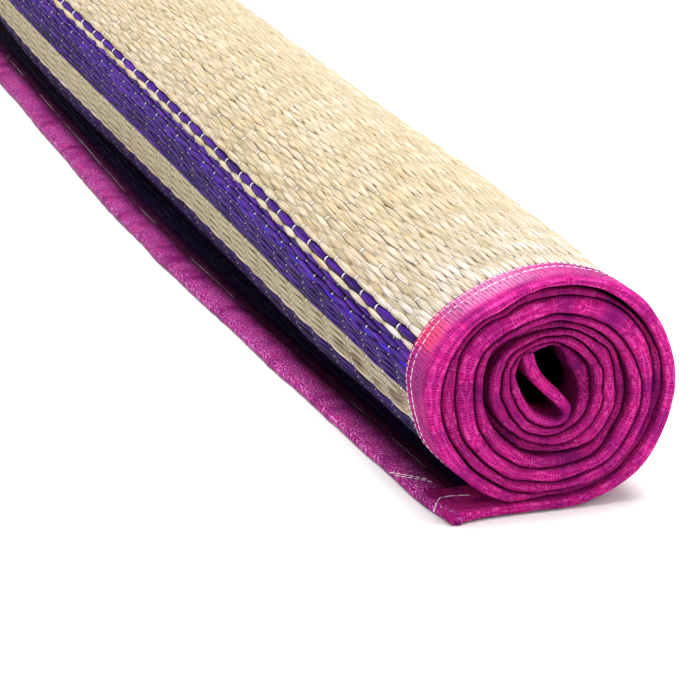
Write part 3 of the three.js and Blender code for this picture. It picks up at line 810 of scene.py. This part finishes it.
# ---------------------------------------------------------------- the wound sheet
px, pz, ph, pu, ps, pnx, pnz = spiral_path(3.0)
sheet_y = np.concatenate([[TAPE_W - 14], np.linspace(TAPE_W + 4, LENGTH - TAPE_W - 4, 34), [LENGTH - TAPE_W + 14]])
sag_share = np.clip(1.9 - pu * 0.62, 0, 1) * (pu > 0.9)
sag_share = np.where(pu <= 2.0, np.where(pu > 0.99, 1.0, 0.0), np.clip(1.0 - (pu - 2.0) * 1.3, 0, 1))
verts, su_a, sv_a, arc_a = [], [], [], []
n_p = len(px)
half_sheet = 1.15
for yy in sheet_y:
    # the outermost turn lies under its reeds, the loose end on the floor
    outer = np.clip((2.02 - pu) / 0.06, 0, 1)
    over = (ph - (TAPE_PROUD + 1.55 + half_sheet)) * outer
    cxn, czn = px + pnx * over, pz + pnz * over
    X, Z = carry(cxn, czn, yy, sag_share)
    flat = pu < 1.0
    e = float(edge_at(yy)) + 4.0
    fx = np.interp(pu, [0, 1.0], [e, float(carry(np.array(3.0), np.array(2.75), yy, 0.0)[0])])
    X = np.where(flat, fx, X)
    Z = np.where(flat, 1.45, Z)
    blend = step(1.0, 1.05, pu)
    Z = np.where((pu >= 1.0) & (pu < 1.06), 1.45 * (1 - blend) + Z * blend, Z)
    Z = np.where(pu > 1.5, np.maximum(Z, 4.6), np.maximum(Z, 1.35))
    gx, gz = np.gradient(X), np.gradient(Z)
    gl = np.maximum(np.hypot(gx, gz), 1e-6)
    NX, NZ = gz / gl, -gx / gl
    top = np.stack([X + NX * half_sheet, np.full(n_p, yy), Z + NZ * half_sheet], -1)
    bot = np.stack([X - NX * half_sheet, np.full(n_p, yy), Z - NZ * half_sheet], -1)
    verts.append(np.concatenate([top, bot[::-1]]))
    d = np.degrees(np.arctan2(czn - CENTRE_Z, cxn))
    d = np.where(d < -90, d + 360, d)
    arcs = (d - FIRST_DEG) * 1.09
    arcs = np.where((pu < 2.0) & (pu > 1.0), arcs, 60.0)
    arc_a.append(np.concatenate([arcs, arcs[::-1]]))
    sv_a.append(np.full(2 * n_p, yy))
verts = np.concatenate(verts)
quads, tris = sweep_faces(len(sheet_y), 2 * n_p, 0)
# end faces as strips between the two skins
k = np.arange(n_p - 1)
last = (len(sheet_y) - 1) * 2 * n_p
cap0 = np.stack([k, 2 * n_p - 1 - k, 2 * n_p - 2 - k, k + 1], -1)
cap1 = cap0[:, ::-1] + last
quads = np.concatenate([quads, cap0[:, ::-1], cap1[:, ::-1]])
q, _ = outward(quads, None, verts)
pieces["mat_sheet"] = build("mat_sheet", verts, q, None, dict(arc=np.concatenate(arc_a), sv=np.concatenate(sv_a)), sheet_material(), smooth=True)
print("mat_sheet triangles", 2 * len(q))


# ---------------------------------------------------------------- bound side edges
def bound_edge(name, far, material):
    x, z, h, u, s, nx, nz = spiral_path(0.95)
    seed = 900 if far else 300
    n = len(x)
    lump = smooth_noise(s, 21.0, seed + 1, 2)
    lump2 = smooth_noise(s, 7.5, seed + 2)
    rec = recess(u)
    if far:
        rec = rec * 0.75 + 0.8 + 0.8 * smooth_noise(s, 60.0, seed + 7)
    rec = np.maximum(rec + 1.15 * lump + 0.45 * lump2, 0.0)
    rec = np.where(u < 1.0, 0.3 + 0.4 * lump - 3.2 * np.exp(-(((s - 4.0) / 12.0) ** 2)), rec)
    h = np.where(s < 3.2, h * np.sqrt(np.clip(1 - (1 - s / 3.2) ** 2, 0.06, 1)), h)
    thick = h - 0.02 - 0.16 * np.clip(lump2 + 0.2, 0, 1)
    thick = np.maximum(thick, 0.8)
    sag = np.where(u <= 2.0, np.where(u > 0.99, 1.0, 0.0), np.clip(1.0 - (u - 2.0) * 1.3, 0, 1))
    outer_turn = np.clip((2.0 - u) / 0.05, 0, 1)
    # profile: offset from the outer skin, distance from the nose; k = share of half thickness
    prof = [  # (share of h, extra, y or distance from the nose, is_nose)
        (1.0, -1.6, 32.2, 0), (1.0, -0.7, 31.9, 0), (1.0, -0.42, 30.9, 0), (1.0, -0.62, 29.3, 0), (1.0, -0.25, 27.4, 0),
        (1.0, -0.70, 25.2, 0), (1.0, -0.22, 22.6, 0), (1.0, -0.12, 18.0, 0), (1.0, -0.05, 12.5, 0), (1.0, 0.05, 8.0, 0),
        (1.0, 0.02, 3.3, 1), (0.93, 0.0, 1.9, 1), (0.74, 0.0, 0.85, 1), (0.42, 0.0, 0.18, 1), (0.0, 0.0, 0.0, 1), (-0.45, 0.0, 0.22, 1),
        (-0.78, 0.0, 0.95, 1), (-0.94, 0.0, 2.0, 1), (-1.0, 0.0, 3.4, 1), (-1.0, 0.0, 12.0, 0), (-1.0, 0.0, 24.0, 0), (-1.0, 0.0, 32.2, 0)]
    m_ = len(prof)
    V = np.zeros((n, m_, 3))
    SV = np.zeros((n, m_))
    PAINTED_SHADE = np.ones((n, m_))
    OUT = np.zeros((n, m_))
    for j, (share, extra, yy, nose) in enumerate(prof):
        off = share * thick
        if share == 1.0:
            off = off + extra * np.where(outer_turn > 0, 1.0, 0.4) - 0.10 * lump2 * (yy < 28)
        yl = (rec + yy) if nose else np.maximum(np.full(n, yy), rec + 3.4 + 0.1 * yy)
        if j == 0:
            yl = np.maximum(yl, 32.2)
        xn, zn = x + nx * off, z + nz * off
        yw = LENGTH - yl if far else yl
        X, Z = carry(xn, zn, yw, sag)
        flat = u < 1.0
        e_shift = edge_at(yw) - edge_at(0.0)
        t = np.clip((3.0 - xn) / 54.0, 0, 1)
        if far:
            # the loose end reaches further out at the far end
            t2 = np.clip((3.0 - xn) / 54.6, 0, 1)
            X = np.where(flat, 3.0 + (edge_at(yw) + 3.0 - 3.0) * t2 + (1 - t2) * (X - 3.0), X)
        else:
            X = np.where(flat, xn + e_shift * t * 0.55, X)
        zf = zn
        zf = np.where(zn > 2.75, 2.75 + (zn - 2.75) * (1.0 - 0.10 * np.clip(yy / 32.0, 0, 1)), zf)
        Z = np.where(flat, np.maximum(zf, 0.12), np.maximum(Z, 0.12))
        V[:, j] = np.stack([X, yw, Z], -1)
        SV[:, j] = yl if not nose else rec + yy - 0.0 + (1 - abs(share)) * 2.5
        OUT[:, j] = outer_turn * (1.0 if share > 0.9 else 0.0)
    d = np.degrees(np.arctan2(z - CENTRE_Z, x))
    d = np.where(d < -90, d + 360, d)
    arcs = np.where((u > 1.0) & (u < 2.0), (d - FIRST_DEG) * 1.09, 300.0)
    on = (u < 2) * (u > 1)
    # paler towards the top: reeds showing through, and painted highlight where the top light falls
    pale_and_highlight = np.exp(-(((d - 114) / 30.0) ** 2)) * on * np.clip(0.85 + 0.5 * lump, 0, 1)
    warm = np.exp(-(((d - 149) / 9.0) ** 4)) * on * np.clip(0.85 + 0.4 * lump2, 0, 1)
    cool = (np.exp(-(((d - 170) / 9.0) ** 4)) + 0.55 * np.exp(-(((d - 157) / 2.0) ** 2))) * on
    # painted shade: deeper-set turns are darker, and below some whole turns are darkened by a listed amount, with a
    # little random variation
    shade = np.clip(1.0 - 0.020 * np.maximum(rec, 0) ** 1.25, 0.5, 1.0)
    turn_shade_and_tone = np.interp(u, [0, 1.0, 1.98, 2.06, 2.2, 2.55, 2.8, 2.97, 3.05, 3.6, 4.0, 4.9, 5.1, 5.4, 5.7, 5.95, 6.1, 7.0, 8.0, 8.6, 9.0, 9.6],
                     [1, 1, 1, 0.78, 0.60, 0.60, 0.78, 0.9, 1.0, 1.0, 0.92, 0.90, 0.66, 0.60, 0.5, 0.72, 0.84, 0.78, 0.80, 0.74, 0.95, 1.0])
    turn_shade_and_tone = turn_shade_and_tone + 0.10 * smooth_noise(s, 45.0, seed + 9)
    PAINTED_SHADE *= (shade * turn_shade_and_tone)[:, None]
    # painted shade: darker towards the edges of each turn's nose, in the grooves between turns
    PAINTED_SHADE *= np.array([1 - 0.45 * abs(p_[0]) ** 5 if p_[3] else 1.0 for p_ in prof])[None, :] ** np.clip(u[:, None] - 1.0, 0, 1)
    # painted shade: the loose end's top, shut in under the roll, is darkened
    under = np.where(u < 1.0, np.interp(u, [0.12, 0.42, 1.0], [1.0, 0.30, 0.12]), 1.0)
    PAINTED_SHADE *= np.where(np.array([p_[0] for p_ in prof])[None, :] > 0.9, under[:, None], 1.0)
    quads, _ = sweep_faces(n, m_, 0)
    caps = []
    for base, flip in ((0, False), ((n - 1) * m_, True)):
        for j in range(0, m_ // 2 - 1):
            f_ = [base + j, base + j + 1, base + m_ - 2 - j, base + m_ - 1 - j]
            caps.append(f_[::-1] if not flip else f_)
    quads = np.concatenate([quads, np.array(caps)])
    q, _ = outward(quads, None, V.reshape(-1, 3))
    ob = build(name, V.reshape(-1, 3), q, None, dict(
        su=np.repeat(s, m_), sv=SV.ravel(), arc=np.repeat(arcs, m_), painted_shade=PAINTED_SHADE.ravel(), outer=OUT.ravel(),
        pale_and_highlight=np.repeat(pale_and_highlight, m_), warm=np.repeat(warm, m_), cool=np.repeat(cool, m_)), material)
    print(name, "triangles", 2 * len(q))
    return ob


mat_tape = tape_material("tape_side", True)
mat_strip = tape_material("tape_end", False)
pieces["tape_near"] = bound_edge("tape_near", False, mat_tape)
pieces["tape_far"] = bound_edge("tape_far", True, mat_tape)


# ---------------------------------------------------------------- tape along the loose edge
def strip_sweep(y_list, width_of, height_of, seed, inner_square=True):
    """Closed section swept along the loose edge; distances from the edge as shares of the width."""
    base_prof = [(0.03, 0.02), (0.5, 0.02), (0.985, 0.02), (1.0, 0.35), (1.0, 0.66), (0.985, 0.78), (0.95, 0.82), (0.88, 0.84), (0.82, 0.86),
                 (0.785, 0.82), (0.75, 0.75), (0.71, 0.83), (0.60, 0.94), (0.40, 1.0), (0.20, 1.02), (0.10, 0.99), (0.045, 0.88), (0.012, 0.66), (0.0, 0.42), (0.006, 0.16)]
    n, m_ = len(y_list), len(base_prof)
    V = np.zeros((n, m_, 3))
    SU = np.zeros((n, m_))
    edge_w = 0.55 * smooth_noise(y_list, 34.0, seed) + 0.25 * smooth_noise(y_list, 9.0, seed + 1)
    for j, (fx, fz) in enumerate(base_prof):
        w, hgt = width_of(y_list), height_of(y_list)
        bumpy = 1 + 0.07 * smooth_noise(y_list + j * 5.0, 26.0, seed + 2) + 0.05 * smooth_noise(y_list + j * 3.0, 8.0, seed + 3)
        if fz <= 0.02:
            bumpy = 1.0
        x = edge_at(y_list) + edge_w * (1 - fx) + fx * w
        zz = np.maximum(fz * hgt * bumpy, 0.12)
        V[:, j] = np.stack([x, y_list, zz], -1)
        SU[:, j] = fx * 23.0
    quads, tris = sweep_faces(n, m_, 0)
    q, t = outward(quads, tris, V.reshape(-1, 3))
    return V.reshape(-1, 3), q, t, SU.ravel(), np.repeat(y_list, m_)


def loft_corner(far):
    """The narrow fold of tape left outside the side tape at a corner."""
    yy = np.array([-3.0, -2.7, -2.0, -0.6, 2, 6, 10, 15, 20, 25, 29, 32, 33.2])
    w = np.array([2.4, 4.2, 5.4, 6.0, 6.0, 5.6, 5.0, 4.5, 4.2, 4.0, 3.8, 3.8, 3.6])
    h = np.array([2.2, 3.7, 4.7, 5.3, 5.5, 5.5, 5.5, 5.4, 5.3, 5.2, 5.3, 5.3, 5.0])
    ex = np.array([2.6, 1.3, 0.4, 0.0, 0, 0, 0, 0, 0, 0, 0, 0, 0])
    prof = [(0.1, 0.02), (0.9, 0.02), (1.0, 0.3), (1.0, 0.75), (0.85, 0.95), (0.55, 1.02), (0.25, 0.95), (0.06, 0.7), (0.0, 0.42), (0.02, 0.15)]
    V = []
    for a, ww, hh, e in zip(yy, w, h, ex):
        yw = LENGTH - a if far else a
        lo = float(edge_at(np.clip(yw, 0, LENGTH))) + e
        for fx, fz in prof:
            V.append((lo + fx * ww, yw, max(fz * hh, 0.12)))
    V = np.array(V)
    quads, tris = sweep_faces(len(yy), len(prof), 0)
    q, t = outward(quads, tris, V)
    return V, q, t, np.tile(np.array([p[0] * 6 for p in prof]), len(yy)), V[:, 1]


y_main = np.linspace(33.4, LENGTH - 33.4, 420)
chunks = [strip_sweep(y_main, lambda y: np.full(len(y), EDGE_TAPE_W), lambda y: 5.3 + 0.2 * smooth_noise(y, 90.0, 61), 50),
          loft_corner(False), loft_corner(True)]
V, Q, T, SU, SV = [], [], [], [], []
for v, q, t, su, sv in chunks:
    b = sum(len(a) for a in V)
    V.append(v)
    Q.append(q + b)
    T.append(np.asarray(t) + b)
    SU.append(su)
    SV.append(sv)
V, Q, T, SU, SV = map(np.concatenate, (V, Q, T, SU, SV))
# painted shade: the end tape darkens from its outer edge in towards the roll, and more towards the far end
pieces["tape_end"] = build("tape_end", V, Q, T, dict(su=SU, sv=SV, arc=np.full(len(V), 300.0), painted_shade=np.interp(SU, [0, 7.0, 11.0, 14.0, 16.5, 23.0], [1.0, 1.0, 0.66, 0.26, 0.08, 0.02]) * (1.0 - 0.34 * step(150.0, 500.0, SV))), mat_strip)


# ---------------------------------------------------------------- sewing thread
def thread_runs(name, curves, material):
    """curves: list of (points, radius, stitch, gap); each stitch is a short tapered strand."""
    V, Q, T = [], [], []
    count = 0
    SIDES = 6
    ang = np.linspace(0, 2 * math.pi, SIDES, endpoint=False)
    for pts, radius, stitch, gap, dip in curves:
        pts = np.asarray(pts, float)
        s = np.concatenate([[0], np.cumsum(np.linalg.norm(np.diff(pts, axis=0), axis=1))])
        t = 0.3
        while t + stitch < s[-1]:
            q = np.linspace(t, t + stitch, 6)
            P = np.stack([np.interp(q, s, pts[:, k]) for k in range(3)], -1)
            f = np.array([0.0, 0.2, 0.45, 0.6, 0.8, 1.0])
            r = radius * np.array([0.35, 0.9, 1.0, 1.0, 0.9, 0.35])
            d = P[-1] - P[0]
            d /= np.linalg.norm(d)
            up = P[:, :] - np.array([0, 0, CENTRE_Z]) * np.array([0, 0, 1])
            up[:, 1] = 0
            if P[0, 2] < 12 and P[0, 0] < -15:
                up = np.tile(np.array([[0.0, 0.0, 1.0]]), (6, 1))
            up /= np.maximum(np.linalg.norm(up, axis=1, keepdims=True), 1e-6)
            side = np.cross(np.tile(d, (6, 1)), up)
            side /= np.maximum(np.linalg.norm(side, axis=1, keepdims=True), 1e-6)
            P = P - up * (dip * (2 * np.abs(f - 0.5)) ** 4)[:, None]
            ring = P[:, None, :] + r[:, None, None] * (np.cos(ang)[None, :, None] * side[:, None, :] + np.sin(ang)[None, :, None] * up[:, None, :])
            quads, tris = sweep_faces(6, SIDES, count)
            qq, tt_ = outward(quads - count, tris - count, ring.reshape(-1, 3))
            V.append(ring.reshape(-1, 3))
            Q.append(qq + count)
            T.append(tt_ + count)
            count += 6 * SIDES
            t += stitch + gap
    return build(name, np.concatenate(V), np.concatenate(Q), np.concatenate(T), None, material)


def lateral(y, lift, d0=-70.0, d1=None):
    """A line round the bound outermost turn at a fixed place along the roll."""
    stop = d1 if d1 is not None else float(crevice_deg(y, 0.0, 5.5)[0]) - 1.0
    deg = np.arange(d0, stop, 0.8)
    wave = 0.35 * smooth_noise(deg, 18.0, int(abs(y)) + 5)
    x, z = outline(deg, np.clip(y + wave, 0, LENGTH), 0.0 - lift)
    return np.stack([x, y + wave, z], -1)


def edge_line(inset, z, y0, y1, seed):
    y = np.arange(y0, y1, 1.5)
    wave = 0.4 * smooth_noise(y, 40.0, seed)
    return np.stack([edge_at(y) + inset + wave, y, np.full(len(y), z) + 0.1 * smooth_noise(y, 26.0, seed + 1)], -1)


def floor_line(points, z):
    p = np.array(points, float)
    t = np.linspace(0, len(p) - 1, 40)
    return np.stack([np.interp(t, np.arange(len(p)), p[:, 0]), np.interp(t, np.arange(len(p)), p[:, 1]), np.full(40, z)], -1)


sew = [
    (lateral(22.0, -0.20), 0.26, 3.6, 0.12, 0.2),
    (lateral(29.3, -0.35), 0.20, 2.6, 0.7, 0.25),
    (lateral(LENGTH - 22.0, -0.20), 0.26, 3.6, 0.12, 0.2),
    (lateral(LENGTH - 29.3, -0.35), 0.20, 2.6, 0.7, 0.25),
    (edge_line(16.6, 4.22, 64.0, LENGTH - 60.0, 3), 0.12, 1.8, 1.6, 0.3),
    (floor_line([(-61.6, 60.0), (-56.8, 56.0), (-51.9, 51.0), (-46.0, 44.5)], 5.5), 0.24, 3.2, 0.3, 0.3),
    (floor_line([(-60.4, 55.5), (-55.6, 51.4), (-50.6, 46.5), (-45.0, 40.5)], 5.5), 0.20, 3.0, 0.5, 0.3),
    (floor_line([(-57.4, 3.6), (-52.6, 14.0), (-48.5, 20.3), (-41.0, 20.6), (-30.0, 17.4)], 5.6), 0.30, 6.5, 0.3, 0.25),
]
pieces["sewing_thread"] = thread_runs("sewing_thread", sew, thread_material("sewing_white", (0.90, 0.88, 0.90), 0.45))


# ---------------------------------------------------------------- ride and replace
for ob in pieces.values():
    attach(ob, "root")
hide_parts("woven_mat")
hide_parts("side_binding_near")
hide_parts("side_binding_far")
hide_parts("end_binding")

# ---------------------------------------------------------------- stage, light, camera
fm = Mat("floor_white")
tc = fm.nt.nodes.new("ShaderNodeTexCoord")
fm.base(fm.ramp(fm.noise(tc.outputs["Object"], 6.0), [(0.3, (0.87, 0.87, 0.87)), (0.7, (0.89, 0.89, 0.89))]))
fm.set(Roughness=0.9, Specular_IOR_Level=0.1)
me = bpy.data.meshes.new("floor")
R = 30.0
me.from_pydata([(-R, -R, -0.0004), (R, -R, -0.0004), (R, R, -0.0004), (-R, R, -0.0004)], [], [(0, 1, 2, 3)])
floor = bpy.data.objects.new("floor", me)
me.materials.append(fm.m)
bpy.context.scene.collection.objects.link(floor)

world = bpy.data.worlds.new("studio")
bpy.context.scene.world = world
world.use_nodes = True
world.node_tree.nodes["Background"].inputs[0].default_value = (1.0, 1.0, 1.0, 1.0)
world.node_tree.nodes["Background"].inputs[1].default_value = 0.79


def area(name, loc, target, size, power, size_y=None):
    li = bpy.data.lights.new(name, "AREA")
    li.energy = power
    li.size = size
    if size_y:
        li.shape = "RECTANGLE"
        li.size_y = size_y
    ob = bpy.data.objects.new(name, li)
    ob.location = loc
    ob.rotation_euler = (Vector(target) - Vector(loc)).to_track_quat("-Z", "Y").to_euler()
    bpy.context.scene.collection.objects.link(ob)
    return ob


area("key", (0.22, -0.20, 2.10), (0.0, -0.1, 0.05), 1.1, 88.0, 1.8)
area("front", (0.7, -2.6, 1.3), (0.0, -0.5, 0.05), 1.2, 11.0)

cam = bpy.data.cameras.new("camera")
cam.sensor_fit = "HORIZONTAL"
cam.sensor_width = 36.0
cam.lens = 3427.66 / 700.0 * 36.0
cam.clip_start = 0.05
cam.clip_end = 60.0
co = bpy.data.objects.new("camera", cam)
bpy.context.scene.collection.objects.link(co)
F = Vector((0.2783678, 0.90225492, -0.32931356)).normalized()
U = Vector((0.10456184, 0.31236014, 0.9441917))
Rt = F.cross(U).normalized()
U = Rt.cross(F).normalized()
C = (np.array([-538.788, -1424.595, 612.608]) + SHIFT) / 1000.0
co.matrix_world = Matrix(((Rt.x, U.x, -F.x, C[0]), (Rt.y, U.y, -F.y, C[1]), (Rt.z, U.z, -F.z, C[2]), (0, 0, 0, 1)))
bpy.context.scene.camera = co
bpy.context.scene.view_settings.view_transform = "Standard"
bpy.context.scene.view_settings.look = "None"
bpy.context.scene.view_settings.exposure = 0.0

bpy.context.view_layer.update()
